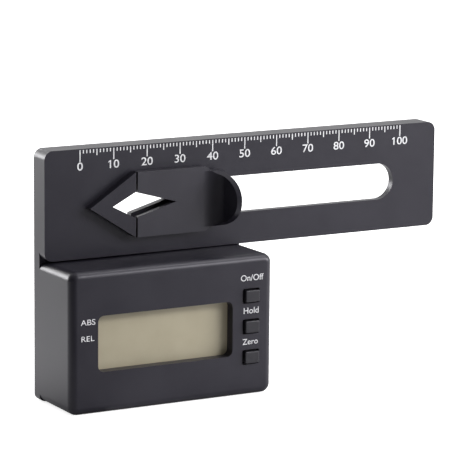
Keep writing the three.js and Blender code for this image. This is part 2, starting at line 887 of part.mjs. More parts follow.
// Clamp spring: a hook, the curls and a hook, along one wire.
function springPath() {
  const radius = (springOuterDiameter - springWire) / 2;
  const x0 = springAnchorX + springHookNeck;
  const x1 = springEarX - springHookNeck;
  const curls = Math.floor((x1 - x0) / springPitch);
  const stepAngle = 2 * Math.PI / springStepsPerCurl;
  const hook = (x, side) => {
    const mouthX = x + side * radius * Math.cos(springHookMouthAngle);
    const mouthZ = springZ + radius * Math.sin(springHookMouthAngle);
    const tail = new THREE.Vector3(
      mouthX - side * springHookTail * Math.sin(springHookMouthAngle),
      springY,
      mouthZ + springHookTail * Math.cos(springHookMouthAngle),
    );
    const points = [tail];
    const steps = Math.ceil(springHookTurn / stepAngle);
    for (let step = 0; step <= steps; step += 1) {
      const angle = springHookMouthAngle - springHookTurn * step / steps;
      points.push(new THREE.Vector3(
        x + side * radius * Math.cos(angle),
        springY,
        springZ + radius * Math.sin(angle),
      ));
    }
    return points;
  };
  const coil = [];
  const steps = curls * springStepsPerCurl;
  for (let step = 0; step < steps; step += 1) {
    const share = (step + 0.5) / steps;
    const angle = Math.PI / 2 + share * curls * 2 * Math.PI;
    coil.push(new THREE.Vector3(
      x0 + share * (x1 - x0),
      springY + radius * Math.cos(angle),
      springZ + radius * Math.sin(angle),
    ));
  }
  const neckZ = springZ + radius;
  const startNeck = new THREE.Vector3(x0 - springPitch / 2, springY, neckZ);
  const endNeck = new THREE.Vector3(x1 + springPitch / 2, springY, neckZ);
  return [
    ...hook(springAnchorX, 1),
    startNeck,
    ...coil,
    endNeck,
    ...hook(springEarX, -1).reverse(),
  ];
}

// The least distance between two stretches of the wire that aren't neighbours, less the wire.
function leastSelfGap(path) {
  const window = springStepsPerCurl / 2;
  let least = Infinity;
  for (let first = 0; first < path.length; first += 1) {
    for (let second = first + window; second < path.length; second += 1) {
      least = Math.min(least, path[first].distanceTo(path[second]));
    }
  }
  return least - springWire;
}

// One closed tube of a few sides along a path of points.
function wireTube(path, radius, sides) {
  const positions = [];
  const indices = [];
  const tangents = path.map((point, index) => {
    const before = path[Math.max(index - 1, 0)];
    const after = path[Math.min(index + 1, path.length - 1)];
    return after.clone().sub(before).normalize();
  });
  const normal = new THREE.Vector3(0, 1, 0);
  path.forEach((point, index) => {
    const tangent = tangents[index];
    normal.addScaledVector(tangent, -normal.dot(tangent)).normalize();
    const across = new THREE.Vector3().crossVectors(tangent, normal);
    for (let side = 0; side < sides; side += 1) {
      const angle = 2 * Math.PI * side / sides;
      const corner = point.clone();
      corner.addScaledVector(normal, radius * Math.cos(angle));
      corner.addScaledVector(across, radius * Math.sin(angle));
      positions.push(corner.x, corner.y, corner.z);
    }
  });
  for (let ring = 0; ring < path.length - 1; ring += 1) {
    for (let side = 0; side < sides; side += 1) {
      const a = ring * sides + side;
      const b = ring * sides + (side + 1) % sides;
      indices.push(a, b, a + sides, b, b + sides, a + sides);
    }
  }
  const last = (path.length - 1) * sides;
  for (let side = 1; side < sides - 1; side += 1) {
    indices.push(0, side + 1, side);
    indices.push(last, last + side, last + side + 1);
  }
  const geometry = new THREE.BufferGeometry();
  geometry.setAttribute('position', new THREE.Float32BufferAttribute(positions, 3));
  geometry.setIndex(indices);
  return geometry;
}

// Liquid crystal display, its frame and its connector strips.
function lcdPanel() {
  return block(lcdLeft, lcdRight, lcdFrontY, lcdBackY, lcdBottom, lcdTop);
}

function lcdFrame() {
  const inner = lcdFrameClearance;
  const outer = lcdFrameMargin;
  const rearY = boardFrontY - seatGap;
  const ring = (margin, y0, y1) => block(
    lcdLeft - margin,
    lcdRight + margin,
    y0,
    y1,
    lcdBottom - margin,
    lcdTop + margin,
  );
  return cutBy(ring(outer, lcdFrontY, rearY), ring(inner, lcdFrontY - cutOverrun, rearY + cutOverrun));
}

function connectorStrip(z) {
  return block(
    lcdLeft + connectorEndInset,
    lcdRight - connectorEndInset,
    lcdBackY + seatGap / 2,
    lcdBackY + seatGap / 2 + connectorHeight,
    z - connectorWidth / 2,
    z + connectorWidth / 2,
  );
}

// Circuit board with its corner notches and screw holes.
function circuitBoard() {
  const inset = caseWall + boardEdgeGap;
  const board = block(left + inset, caseRight - inset, boardFrontY, boardBackY, inset, caseTopZ - inset);
  const notches = [left + inset, caseRight - inset - boardNotch].flatMap((x) => (
    [inset, caseTopZ - inset - boardNotch].map((z) => block(
      x - cutOverrun,
      x + boardNotch + cutOverrun,
      boardFrontY - cutOverrun,
      boardBackY + cutOverrun,
      z - cutOverrun,
      z + boardNotch + cutOverrun,
    ))
  ));
  const holes = boardScrewPlaces.map(([x, z]) => rodY(
    x,
    z,
    boardScrewRadius + screwClearance * 2,
    boardFrontY - cutOverrun,
    boardBackY + cutOverrun,
    screwFacets,
  ));
  return cutBy(board, ...notches, ...holes);
}

function chip(x, z, size, thickness) {
  const half = size / 2;
  const y0 = boardBackY;
  return block(x - half, x + half, y0, y0 + thickness, z - half, z + half);
}

// Button cap with its flange, and the switch under it.
const switchTopY = boardFrontY - switchBodyHeight;
const flangeFrontY = caseInnerY + buttonFlangeGap;
const flangeRearY = flangeFrontY + buttonFlangeThickness;

function buttonCap(z) {
  const halfWidth = buttonHoleWidth / 2 - buttonClearance;
  const halfHeight = buttonHoleHeight / 2 - buttonClearance;
  const cap = softFrontPrism(
    roundedRectangle(
      buttonX - halfWidth,
      buttonX + halfWidth,
      z - halfHeight,
      z + halfHeight,
      buttonHoleRadius,
    ),
    caseFrontY - buttonProud,
    flangeRearY,
    buttonEdgeRadius,
  );
  return joined(cap, buttonPrism(z, -buttonFlange, flangeFrontY, flangeRearY));
}

function switchStem(z) {
  const y0 = flangeRearY + switchStemGap;
  return rodY(buttonX, z, switchStemRadius, y0, switchTopY + switchStemDepth, screwFacets);
}

function switchBody(z) {
  const half = switchSize / 2;
  const body = block(buttonX - half, buttonX + half, switchTopY, boardFrontY, z - half, z + half);
  const bore = rodY(
    buttonX,
    z,
    switchBoreRadius,
    switchTopY - cutOverrun,
    switchTopY + switchBoreDepth,
    screwFacets,
  );
  return cutBy(body, bore);
}

// Cells lie along X with their nubs at opposite ends.
function cell(z, nubSide) {
  const radius = cellDiameter / 2;
  const edge = cellEdgeRadius;
  const start = -cellLength / 2;
  const shoulder = cellLength / 2 - cellNubHeight;
  const points = [
    [0, start],
    [radius - edge, start],
    [radius, start + edge],
    [radius, shoulder - edge],
    [radius - edge, shoulder],
    [cellNubRadius, shoulder],
    [cellNubRadius, shoulder + cellNubHeight],
    [0, shoulder + cellNubHeight],
  ].map(([r, y]) => new THREE.Vector2(r, y));
  const geometry = new THREE.LatheGeometry(points, cellFacets);
  geometry.rotateZ(-nubSide * Math.PI / 2);
  geometry.translate(tubX, cellY, z);
  return solidOf(geometry);
}

// A contact: a plate on the tub's end wall with a bent finger for each cell that it meets.
function contact(side, zs, hasTab) {
  const wallX = tubX + side * (tubHalfLength - seatGap);
  const faceX = wallX - side * contactThickness;
  const x0 = Math.min(wallX, faceX);
  const x1 = Math.max(wallX, faceX);
  const y0 = cellY - contactWidth / 2;
  const y1 = cellY + contactWidth / 2;
  const z0 = Math.min(...zs) - contactWidth / 2;
  const z1 = Math.max(...zs) + contactWidth / 2;
  const plate = block(x0, x1, y0, y1, z0, z1);
  const fingers = zs.map((z) => {
    const tipX = faceX - side * contactFingerReach;
    const shape = polygon([
      [(wallX + faceX) / 2, y1 - contactThickness],
      [tipX, cellY + contactThickness / 2],
      [tipX, cellY - contactThickness / 2],
      [(wallX + faceX) / 2, y0 + contactThickness],
      [(wallX + faceX) / 2, y0 + contactThickness * 2],
      [tipX + side * contactThickness, cellY],
      [(wallX + faceX) / 2, y1 - contactThickness * 2],
    ]);
    return prismZ(shape, z - contactFingerWidth / 2, z + contactFingerWidth / 2);
  });
  const whole = joined(plate, ...fingers);
  if (!hasTab) {
    return whole;
  }
  const [z] = zs;
  const tab = block(x0, x1, boardBackY + seatGap, cellY, z - contactTabWidth / 2, z + contactTabWidth / 2);
  return joined(whole, tab);
}

// Battery door: a plate with a thinner lip that runs in the cover's grooves.
function batteryDoor() {
  const outerHalf = doorHalfHeight;
  const innerHalf = doorHalfHeight + doorLipWidth;
  const lip = block(
    doorLeft - doorLipWidth,
    caseRight,
    doorInnerY,
    doorInnerY + doorLipHeight,
    tubZ - innerHalf,
    tubZ + innerHalf,
  );
  const plate = block(doorLeft, caseRight, doorInnerY, backY, tubZ - outerHalf, tubZ + outerHalf);
  const grips = Array.from({ length: doorGripCount }, (_, index) => {
    const x = caseRight - doorGripInset - index * doorGripPitch;
    return block(
      x - doorGripWidth,
      x,
      backY - doorGripDepth,
      backY + cutOverrun,
      tubZ - doorGripLength / 2,
      tubZ + doorGripLength / 2,
    );
  });
  return cutBy(joined(lip, plate), ...grips);
}

// The pieces
addPiece('arm_and_rear_cover', armAndRearCover(), blackPlastic());
addPiece('display_case', displayCase(), blackPlastic());
addPiece('sliding_jaw', slidingJaw(), blackPlastic());
addPiece('slider_back_plate', sliderBackPlate(), blackPlastic());
sliderScrewPlaces.forEach(([x, z], index) => {
  const solid = screw(x, z, backPlateRearY, sliderScrewHead, sliderScrewShaft);
  addPiece(`slider_screw_${index + 1}`, solid, steel());
});

const springCentreLine = springPath();
const springGap = leastSelfGap(springCentreLine);
console.log(`clamp spring: least gap to itself ${springGap.toFixed(3)} mm`);
addPiece(
  'clamp_spring',
  solidOf(wireTube(springCentreLine, springWire / 2, springSides)),
  springSteel(),
);

addPiece('lcd_panel', lcdPanel(), material(0xa59e8a, 0.35, 0));
addPiece('lcd_frame', lcdFrame(), material(0xd8d8d4, 0.6, 0));
addPiece('connector_strip_upper', connectorStrip(lcdTop - connectorInset), material(0x4a4f58, 0.8, 0));
addPiece('connector_strip_lower', connectorStrip(lcdBottom + connectorInset), material(0x4a4f58, 0.8, 0));
addPiece('circuit_board', circuitBoard(), material(0x1f5a35, 0.5, 0));
addPiece(
  'controller_chip',
  chip(left + controllerInset, tubZ, controllerSize, controllerThickness),
  material(0x17171a, 0.6, 0),
);
addPiece(
  'tilt_sensor_chip',
  chip(caseRight - tiltSensorInset, tubZ, tiltSensorSize, tiltSensorThickness),
  material(0x17171a, 0.6, 0),
);
buttonNames.forEach((name, index) => {
  const z = buttonZs[index];
  addPiece(`${name}_button`, buttonCap(z), buttonPlastic());
  addPiece(`${name}_switch_stem`, switchStem(z), material(0x3a3a3d, 0.5, 0));
  addPiece(`${name}_switch_body`, switchBody(z), material(0x9b9da0, 0.4, 1));
});
addPiece('cell_upper', cell(upperCellZ, 1), material(0x6b6f76, 0.35, 0.6));
addPiece('cell_lower', cell(lowerCellZ, -1), material(0x6b6f76, 0.35, 0.6));
addPiece('contact_minus', contact(-1, [upperCellZ], true), springSteel());
addPiece('contact_plus', contact(-1, [lowerCellZ], true), springSteel());
addPiece('contact_bridge', contact(1, [upperCellZ, lowerCellZ], false), springSteel());
addPiece('battery_door', batteryDoor(), blackPlastic());
caseScrewPlaces.forEach(([x, z], index) => {
  const solid = screw(x, z, backY - counterboreDepth, caseScrewHead, caseScrewShaft);
  addPiece(`case_screw_${index + 1}`, solid, steel());
});
boardScrewPlaces.forEach(([x, z], index) => {
  const solid = screw(x, z, boardBackY, boardScrewHead, boardScrewShaft);
  addPiece(`board_screw_${index + 1}`, solid, steel());
});

export default model;
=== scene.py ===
# A digital pitch gauge: satin black plastic, a printed ruler, a blank display and a sprung clamp.

from math import cos, pi, radians, sin

import bmesh
import bpy
from mathutils import Matrix, Vector


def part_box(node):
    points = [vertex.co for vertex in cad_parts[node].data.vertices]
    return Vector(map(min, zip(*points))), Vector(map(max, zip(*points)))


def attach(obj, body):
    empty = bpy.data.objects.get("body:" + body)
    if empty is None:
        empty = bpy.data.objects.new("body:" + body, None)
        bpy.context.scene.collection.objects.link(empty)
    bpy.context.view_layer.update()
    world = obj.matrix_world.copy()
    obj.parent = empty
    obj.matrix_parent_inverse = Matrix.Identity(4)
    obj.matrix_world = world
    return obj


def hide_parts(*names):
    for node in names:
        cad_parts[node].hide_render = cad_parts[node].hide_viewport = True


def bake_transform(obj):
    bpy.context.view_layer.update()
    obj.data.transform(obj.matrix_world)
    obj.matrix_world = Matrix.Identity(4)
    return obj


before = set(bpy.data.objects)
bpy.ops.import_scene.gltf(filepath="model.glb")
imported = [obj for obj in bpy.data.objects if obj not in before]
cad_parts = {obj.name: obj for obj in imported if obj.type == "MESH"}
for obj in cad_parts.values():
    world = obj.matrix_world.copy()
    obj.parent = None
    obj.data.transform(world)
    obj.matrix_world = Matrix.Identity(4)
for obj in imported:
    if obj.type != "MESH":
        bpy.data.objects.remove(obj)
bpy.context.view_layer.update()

MM = 0.001

# Camera, at the photograph's viewpoint
CAMERA_PLACE = Vector((-380.69, -669.30, 190.61)) * MM
CAMERA_YAW = radians(29.155)
CAMERA_PITCH = radians(10.865)
CAMERA_ROLL = radians(0.528)
CAMERA_SENSOR_WIDTH = 36.0
CAMERA_LENS = 223.3
CAMERA_NEAREST = 0.05
CAMERA_FARTHEST = 20.0

# Reading a CAD mesh
WELD_REACH = 0.0005 * MM
SAME_PLANE = 0.001 * MM
FLAT_ANGLE = radians(0.5)
SHARP_ANGLE = radians(38)

# Softened edges. The arm's lower front edge lies within the last value above the case.
EDGE_SEGMENTS = 3
EDGE_RADIUS = 0.25 * MM
SMALL_EDGE_RADIUS = 0.12 * MM
ARM_EDGE_RADIUS = 0.35 * MM
ARM_LOWER_EDGE_RADIUS = 0.6 * MM
ARM_LOWER_EDGE_BAND = 0.5 * MM

# Top of the case: how far its left and right ends fall to the back, and how far down the
# walls are lowered with them
CASE_TOP_DIP_LEFT = 0.42 * MM
CASE_TOP_DIP_RIGHT = 0.15 * MM
CASE_TOP_DEPTH = 3.0 * MM

# Thumb tab of the sliding jaw. A face looks sideways when its normal's x is past the last value.
TAB_REACH = 5.2 * MM
TAB_RIM_RADIUS = 0.2 * MM
TAB_RIM_SLOPE = 0.5 * MM
TAB_RIM_START = 1.5 * MM
TAB_SIDEWAYS = 0.3

# Button caps
BUTTON_TOP_SLOPE = 0.22 * MM

# Ruler on the arm
ARM_THICKNESS = 6.6 * MM
PRINT_THICKNESS = 0.015 * MM
RULER_ZERO_INSET = 10.43 * MM
RULER_LENGTH_MM = 100
TICK_TOP_DROP = 0.3 * MM
TICK_WIDTH = 0.3 * MM
TICK_LENGTHS = {10: 3.1 * MM, 5: 1.65 * MM, 1: 0.95 * MM}
NUMERAL_STEP_MM = 10
NUMERAL_HEIGHT = 2.15 * MM
NUMERAL_DROP = 3.58 * MM
NUMERAL_STRETCH = 1.17
NUMERAL_BOLDNESS = 0.006

# Flag of the 1
ONE_FLAG_LENGTH = 0.72 * MM
ONE_FLAG_WIDTH = 0.26 * MM
ONE_FLAG_THICKNESS = 0.9 * PRINT_THICKNESS
ONE_FLAG_ANGLE = radians(35)
ONE_FLAG_DROP = 0.34 * MM
ONE_FLAG_REACH = 0.4 * MM

# Letters, before they are brought to size
LETTER_DEPTH = 0.01
LETTER_CURVE_STEPS = 6

# Words on the case: text, centre from the case's left side, baseline from its top,
# height of the capitals, width
WORDS = {
    "word_on_off": ("On/Off", 54.35 * MM, 6.87 * MM, 1.65 * MM, 6.95 * MM),
    "word_hold": ("Hold", 54.12 * MM, 15.9 * MM, 1.65 * MM, 4.6 * MM),
    "word_zero": ("Zero", 53.93 * MM, 24.43 * MM, 1.55 * MM, 4.7 * MM),
    "word_abs": ("ABS", 5.1 * MM, 14.24 * MM, 1.5 * MM, 4.25 * MM),
    "word_rel": ("REL", 5.06 * MM, 18.62 * MM, 1.45 * MM, 3.78 * MM),
}

# Cross recesses of the screws. A face looks back when its normal's y is past the last value.
RECESS_WIDTH = 0.5 * MM
RECESS_DEPTH = 0.6 * MM
RECESS_SHARE_OF_HEAD = 0.6
FACES_BACK = 0.5

# Clamp spring
SPRING_WIRE = 0.45 * MM
SPRING_RADIUS = 1.575 * MM
SPRING_PITCH = 0.92 * MM
SPRING_NECK = 2.6 * MM
SPRING_NECK_BEND = 0.34 * MM
SPRING_HOOK_TURN = radians(225)
SPRING_SIDES = 8
SPRING_STEPS_PER_CURL = 20
SPRING_BEND_STEPS = 6
SPRING_HOOK_STEPS = 16

# Tint of the sheen on the black plastics
BLACK_SHEEN = (0.95, 0.93, 1.0, 1.0)

# Studio: white all round, with a dim side to the left of the camera. Its levels go by the
# angle from the middle of that side.
WHITE = (1, 1, 1, 1)
SURROUND_LEVEL = 0.6
DIM_SIDE = Vector((-0.75, -0.65, -0.1)).normalized()
DIM_CENTRE = Vector((-50, -10, 0)) * MM
LEVELS_BY_ANGLE = ((radians(25), 0.14), (radians(65), 0.46), (radians(100), 1.0))

# Floor, with a painted patch of light behind the gauge's left side and painted shade close to the
# gauge, in the light it throws back
FLOOR_HALF_SIZE = 4.0
FLOOR_DROP = 0.05 * MM
FLOOR_GLOW = 0.75
FLOOR_ALBEDO = 0.75
# The floor's glow to other rays is painted light that stands in for bounced light
FLOOR_BOUNCE = 0.32
# Painted patch of light on the floor: its centre, reach and lift
PAINTED_LIGHT_PATCH_CENTRE = Vector((-130, 30, 0)) * MM
PAINTED_LIGHT_PATCH_REACH = 160 * MM
PAINTED_LIGHT_PATCH_LIFT = 0.88
CONTACT_REACH = 30 * MM

# Lamps: place, width, height and power
LAMP_TARGET = Vector((0, 0, 0.04))
LAMPS = {
    "right_softbox": ((0.68, -0.44, 0.28), 0.45, 0.3, 5.2),
    "top_softbox": ((0.42, -0.6, 0.46), 0.24, 0.2, 2.8),
    "overhead_softbox": ((0.36, -0.16, 0.66), 0.2, 0.2, 1.1),
    "back_softbox": ((-0.22, 0.95, 0.2), 1.0, 0.32, 10.0),
}


# Mesh helpers
def merged_copy(node):
    """A bmesh of a CAD node, welded, with its flat faces made whole."""
    mesh = bmesh.new()
    mesh.from_mesh(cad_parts[node].data)
    bmesh.ops.remove_doubles(mesh, verts=mesh.verts, dist=WELD_REACH)
    bmesh.ops.dissolve_limit(
        mesh,
        angle_limit=FLAT_ANGLE,
        use_dissolve_boundaries=False,
        verts=mesh.verts,
        edges=mesh.edges,
        delimit=set(),
    )
    return mesh


def only(kind, items):
    return [item for item in items if isinstance(item, kind)]


def outer_edges(mesh):
    """The edges that stick out and are sharp."""
    return [
        edge
        for edge in mesh.edges
        if len(edge.link_faces) == 2 and edge.calc_face_angle_signed() > SHARP_ANGLE
    ]


def round_edges(mesh, edges, radius):
    bmesh.ops.bevel(
        mesh,
        geom=edges,
        offset=radius,
        offset_type="OFFSET",
        segments=EDGE_SEGMENTS,
        profile=0.5,
        affect="EDGES",
        material=-1,
        clamp_overlap=True,
    )


def mesh_data(mesh, name):
    """The mesh data that a finished bmesh leaves."""
    data = bpy.data.meshes.new(name)
    mesh.to_mesh(data)
    mesh.free()
    return data


def new_object(name, data):
    thing = bpy.data.objects.new(name, data)
    bpy.context.scene.collection.objects.link(thing)
    return thing


def piece_from(mesh, name, body, surface, node=None):
    """Makes a bmesh a finished piece that rides on a body and may stand for a CAD node."""
    for face in mesh.faces:
        face.smooth = True
    for edge in mesh.edges:
        edge.smooth = len(edge.link_faces) == 2 and edge.calc_face_angle(0) < SHARP_ANGLE
    piece = new_object(name, mesh_data(mesh, name))
    piece.data.materials.append(surface)
    shading = piece.modifiers.new("flat_faces", "WEIGHTED_NORMAL")
    shading.keep_sharp = True
    if node:
        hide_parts(node)
    if body:
        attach(piece, body)
    return piece


def dress(node, surface):
    """Gives a CAD node that stays as it is its finish."""
    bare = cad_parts[node]
    if not bare.material_slots:
        bare.data.materials.append(surface)
    for slot in bare.material_slots:
        slot.material = surface


# Shader nodes
def feed(tree, node, inputs):
    """Gives each input its value, or a link where it is given a socket."""
    for name, source in inputs.items():
        if isinstance(source, bpy.types.NodeSocket):
            tree.links.new(source, node.inputs[name])
        else:
            node.inputs[name].default_value = source


def add_node(tree, kind, inputs=None, **settings):
    node = tree.nodes.new(kind)
    for setting, value in settings.items():
        setattr(node, setting, value)
    feed(tree, node, inputs or {})
    return node


def vector_math(tree, operation, *inputs):
    return add_node(tree, "ShaderNodeVectorMath", dict(enumerate(inputs)), operation=operation)


def mixed(tree, factor, first, second):
    """A shader that goes from the first to the second as the factor goes from 0 to 1."""
    inputs = {0: factor, 1: first.outputs[0], 2: second.outputs[0]}
    return add_node(tree, "ShaderNodeMixShader", inputs)


# Finishes
class Surface:
    """A material with a plain shader, whose patterns follow the object's own coordinates."""

    def __init__(self, name, roughness, metallic=0.0):
        self.material = bpy.data.materials.new(name)
        self.material.use_nodes = True
        self.tree = self.material.node_tree
        self.shader = self.tree.nodes["Principled BSDF"]
        self.feed_shader({"Roughness": roughness, "Metallic": metallic})
        self.place = add_node(self.tree, "ShaderNodeTexCoord").outputs["Object"]

    def feed_shader(self, inputs):
        feed(self.tree, self.shader, inputs)

    def scaled_place(self, scale):
        mapping = add_node(self.tree, "ShaderNodeMapping", {"Vector": self.place, "Scale": scale})
        return mapping.outputs["Vector"]

    def noise(self, grain, detail=3.0, stretch=(1, 1, 1)):
        """Noise whose features are about grain metres across."""
        place = self.scaled_place(Vector(stretch) / grain)
        inputs = {"Vector": place, "Scale": 1.0, "Detail": detail}
        return add_node(self.tree, "ShaderNodeTexNoise", inputs).outputs["Fac"]

    def bands(self, width, direction):
        """Bands across the object, along an axis or the diagonal."""
        inputs = {"Vector": self.scaled_place((1 / width, 1 / width, 1 / width)), "Scale": 1.0}
        wave = add_node(self.tree, "ShaderNodeTexWave", inputs, bands_direction=direction)
        return wave.outputs["Fac"]

    def vary_colour(self, factor, low, high, start=0.35, end=0.65):
        """The colour goes from low to high as the factor goes from start to end."""
        ramp = add_node(self.tree, "ShaderNodeValToRGB", {"Fac": factor})
        first, last = ramp.color_ramp.elements
        first.position, last.position = start, end
        first.color, last.color = (*low, 1), (*high, 1)
        self.feed_shader({"Base Color": ramp.outputs["Color"]})

    def vary_roughness(self, factor, low, high, start=0.3, end=0.7):
        spread = add_node(self.tree, "ShaderNodeMapRange", {
            "Value": factor,
            "From Min": start,
            "From Max": end,
            "To Min": low,
            "To Max": high,
        })
        self.feed_shader({"Roughness": spread.outputs["Result"]})

    def bump(self, factor, height):
        inputs = {"Height": factor, "Distance": height, "Strength": 1.0}
        raised = add_node(self.tree, "ShaderNodeBump", inputs)
        self.feed_shader({"Normal": raised.outputs["Normal"]})


def satin_black_plastic(name, shine):
    surface = Surface(name, roughness=0.36)
    cloud = surface.noise(9 * MM)
    surface.vary_colour(cloud, (0.0115, 0.0105, 0.0165), (0.0145, 0.0135, 0.02))
    surface.vary_roughness(cloud, 0.34, 0.38)
    surface.bump(surface.noise(0.22 * MM, detail=2.0), height=0.004 * MM)
    surface.feed_shader({"Specular IOR Level": shine, "Specular Tint": BLACK_SHEEN})
    return surface.material


def button_plastic():
    surface = Surface("button_plastic", roughness=0.4)
    cloud = surface.noise(2 * MM)
    surface.vary_colour(cloud, (0.009, 0.0088, 0.0115), (0.012, 0.0115, 0.0145))
    surface.vary_roughness(cloud, 0.38, 0.43)
    surface.bump(surface.noise(0.15 * MM, detail=2.0), height=0.004 * MM)
    surface.feed_shader({"Specular IOR Level": 0.44, "Specular Tint": BLACK_SHEEN})
    return surface.material


def white_ink():
    surface = Surface("white_ink", roughness=0.55)
    cover = surface.noise(0.5 * MM)
    surface.vary_colour(cover, (0.62, 0.62, 0.65), (0.76, 0.76, 0.78))
    surface.vary_roughness(cover, 0.5, 0.6)
    return surface.material


def display_glass():
    surface = Surface("display_glass", roughness=0.3)
    cloud = surface.noise(6 * MM)
    surface.vary_colour(cloud, (0.35, 0.313, 0.227), (0.37, 0.331, 0.242))
    surface.vary_roughness(cloud, 0.28, 0.34)
    surface.feed_shader({"Specular IOR Level": 0.35})
    return surface.material


def white_moulding():
    surface = Surface("white_moulding", roughness=0.6)
    surface.vary_colour(surface.noise(3 * MM), (0.62, 0.62, 0.6), (0.72, 0.72, 0.7))
    surface.bump(surface.noise(0.2 * MM), height=0.003 * MM)
    return surface.material


def grey_moulding():
    surface = Surface("grey_moulding", roughness=0.5)
    surface.vary_colour(surface.noise(1.5 * MM), (0.04, 0.04, 0.043), (0.055, 0.055, 0.06))
    surface.bump(surface.noise(0.15 * MM), height=0.003 * MM)
    return surface.material


def striped_rubber():
    """Thin conducting layers between insulating ones."""
    surface = Surface("striped_rubber", roughness=0.7)
    layers = surface.bands(0.5 * MM, "X")
    surface.vary_colour(layers, (0.02, 0.02, 0.022), (0.16, 0.17, 0.2), start=0.45, end=0.55)
    surface.bump(layers, height=0.01 * MM)
    return surface.material


def solder_mask():
    """Green mask, darker between the copper tracks that show through it."""
    surface = Surface("solder_mask", roughness=0.35)
    tracks = surface.bands(1.6 * MM, "DIAGONAL")
    surface.vary_colour(tracks, (0.008, 0.075, 0.03), (0.018, 0.14, 0.055), start=0.4, end=0.6)
    surface.bump(tracks, height=0.02 * MM)
    return surface.material


def chip_compound():
    surface = Surface("chip_compound", roughness=0.6)
    grain = surface.noise(0.1 * MM)
    surface.vary_colour(grain, (0.012, 0.012, 0.013), (0.02, 0.02, 0.022))
    surface.bump(grain, height=0.005 * MM)
    return surface.material


def plated_steel():
    surface = Surface("plated_steel", roughness=0.36, metallic=1.0)
    wear = surface.noise(0.4 * MM)
    surface.vary_colour(wear, (0.24, 0.24, 0.25), (0.34, 0.34, 0.34))
    surface.vary_roughness(wear, 0.32, 0.45)
    surface.bump(surface.noise(0.08 * MM), height=0.002 * MM)
    return surface.material


def spring_steel():
    surface = Surface("spring_steel", roughness=0.28, metallic=1.0)
    drawn = surface.noise(0.25 * MM, stretch=(1, 1, 4))
    surface.vary_colour(drawn, (0.42, 0.42, 0.43), (0.6, 0.6, 0.6))
    surface.vary_roughness(drawn, 0.22, 0.35)
    return surface.material


def tinned_cover():
    surface = Surface("tinned_cover", roughness=0.35, metallic=1.0)
    wear = surface.noise(0.5 * MM)
    surface.vary_colour(wear, (0.45, 0.45, 0.46), (0.58, 0.58, 0.58))
    surface.vary_roughness(wear, 0.3, 0.45)
    return surface.material


def cell_sleeve():
    """A grey sleeve with a metallic sheen."""
    surface = Surface("cell_sleeve", roughness=0.3, metallic=0.6)
    cloud = surface.noise(2.5 * MM, stretch=(1, 3, 3))
    surface.vary_colour(cloud, (0.1, 0.105, 0.12), (0.16, 0.165, 0.18))
    surface.vary_roughness(cloud, 0.25, 0.4)
    return surface.material


black = satin_black_plastic("satin_black_plastic", shine=0.385)
jaw_black = satin_black_plastic("jaw_black_plastic", shine=0.54)
button_black = button_plastic()
ink = white_ink()
steel = plated_steel()
wire = spring_steel()


# Moulded pieces
arm_low, arm_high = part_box("arm_and_rear_cover")
case_low, case_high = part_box("display_case")
arm_front = arm_high[1] - ARM_THICKNESS


def softened_node(node, name, body, radius):
    """Stands for a CAD node, in the same shape with its outer edges rounded."""
    mesh = merged_copy(node)
    round_edges(mesh, outer_edges(mesh), radius)
    piece_from(mesh, name, body, black, node)


def on_arm_lower_edge(vert):
    height = vert.co.z - case_high[2]
    return abs(vert.co.y - arm_front) < SAME_PLANE and 0 < height < ARM_LOWER_EDGE_BAND


def arm():
    """The arm and rear cover. The arm's lower front edge is rounder than the others."""
    mesh = merged_copy("arm_and_rear_cover")
    lower = [edge for edge in outer_edges(mesh) if all(map(on_arm_lower_edge, edge.verts))]
    round_edges(mesh, lower, ARM_LOWER_EDGE_RADIUS)
    round_edges(mesh, outer_edges(mesh), ARM_EDGE_RADIUS)
    piece_from(mesh, "arm_moulding", "gauge", black, "arm_and_rear_cover")


def case():
    """The display case, whose top falls a little to the back: a dark line under the arm."""
    mesh = merged_copy("display_case")
    round_edges(mesh, outer_edges(mesh), EDGE_RADIUS)
    top = case_high[2]
    start = min(vert.co.y for vert in mesh.verts if vert.co.z > top - SAME_PLANE)
    for vert in mesh.verts:
        height = vert.co.z - top + CASE_TOP_DEPTH
        if height > 0 and vert.co.y > start:
            run = (vert.co.y - start) / (arm_front - start)
            rightness = (vert.co.x - case_low[0]) / (case_high[0] - case_low[0])
            dip = CASE_TOP_DIP_LEFT + rightness * (CASE_TOP_DIP_RIGHT - CASE_TOP_DIP_LEFT)
            vert.co.z -= dip * run * height / CASE_TOP_DEPTH
    piece_from(mesh, "case_moulding", "gauge", black, "display_case")


def jaw():
    """The sliding jaw, whose thumb tab has a rim that slopes to its hollow side."""
    mesh = merged_copy("sliding_jaw")
    low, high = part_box("sliding_jaw")
    root = high[0] - TAB_REACH
    rim = [edge for edge in outer_edges(mesh) if min(vert.co.x for vert in edge.verts) > root]
    hollow_side = {
        vert
        for edge in rim
        if min(face.normal.x for face in edge.link_faces) < -TAB_SIDEWAYS
        for vert in edge.verts
    }
    for vert in hollow_side:
        edge_on = [face for face in vert.link_faces if abs(face.normal.x) < TAB_SIDEWAYS]
        outward = sum((face.normal for face in edge_on), Vector())
        slope = TAB_RIM_SLOPE * min(1, (vert.co.x - root) / TAB_RIM_START)
        vert.co -= outward.normalized() * slope
    mesh.normal_update()
    round_edges(mesh, rim, TAB_RIM_RADIUS)
    rest = [edge for edge in outer_edges(mesh) if max(vert.co.x for vert in edge.verts) < root]
    round_edges(mesh, rest, EDGE_RADIUS)
    piece_from(mesh, "jaw_moulding", "slider", jaw_black, "sliding_jaw")


def button(word):
    """A button cap, whose face leans back a little at its top."""
    node = f"{word}_button"
    mesh = merged_copy(node)
    low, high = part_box(node)
    middle = (low[2] + high[2]) / 2
    for vert in mesh.verts:
        if vert.co.y < low[1] + SAME_PLANE and vert.co.z > middle:
            vert.co.z -= BUTTON_TOP_SLOPE
    mesh.normal_update()
    round_edges(mesh, outer_edges(mesh), SMALL_EDGE_RADIUS)
    piece_from(mesh, f"{word}_cap", f"{word}_key", button_black, node)


